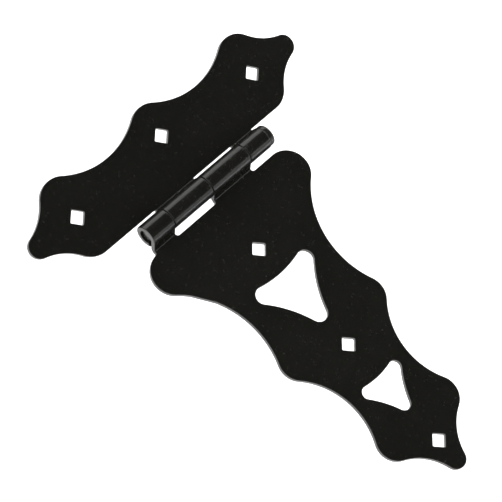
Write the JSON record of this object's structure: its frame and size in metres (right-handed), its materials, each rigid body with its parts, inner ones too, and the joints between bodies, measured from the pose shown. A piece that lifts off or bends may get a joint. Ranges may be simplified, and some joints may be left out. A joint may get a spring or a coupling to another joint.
{
  "type": "tee hinge",
  "caption": "Scalloped black steel tee hinge: a long pierced strap leaf and a lobed jamb leaf turn on one pin through rolled knuckles.",
  "frame": {"origin": "on the back plane of the strap leaf, right under the middle of the hinge pin", "axes": "+X along the strap to its tip, +Y along the pin towards its head, +Z out of the front face"},
  "size_m": [0.2586, 0.2018, 0.0152],
  "materials": {
    "leaf_coating": "satin black powder coat over pressed steel plate",
    "pin_coating": "satin black powder coat, thin on the pin ends"
  },
  "bodies": {
    "strap": {"strap_leaf": "leaf_coating", "hinge_pin": "pin_coating"},
    "jamb": {"jamb_leaf": "leaf_coating"}
  },
  "joints": [
    {"name": "leaf_swing", "type": "hinge", "parent": "strap", "child": "jamb", "pos_m": [0, 0, 0.00695], "axis": [0, 1, 0], "range_deg": [-108, 167]}
  ]
}
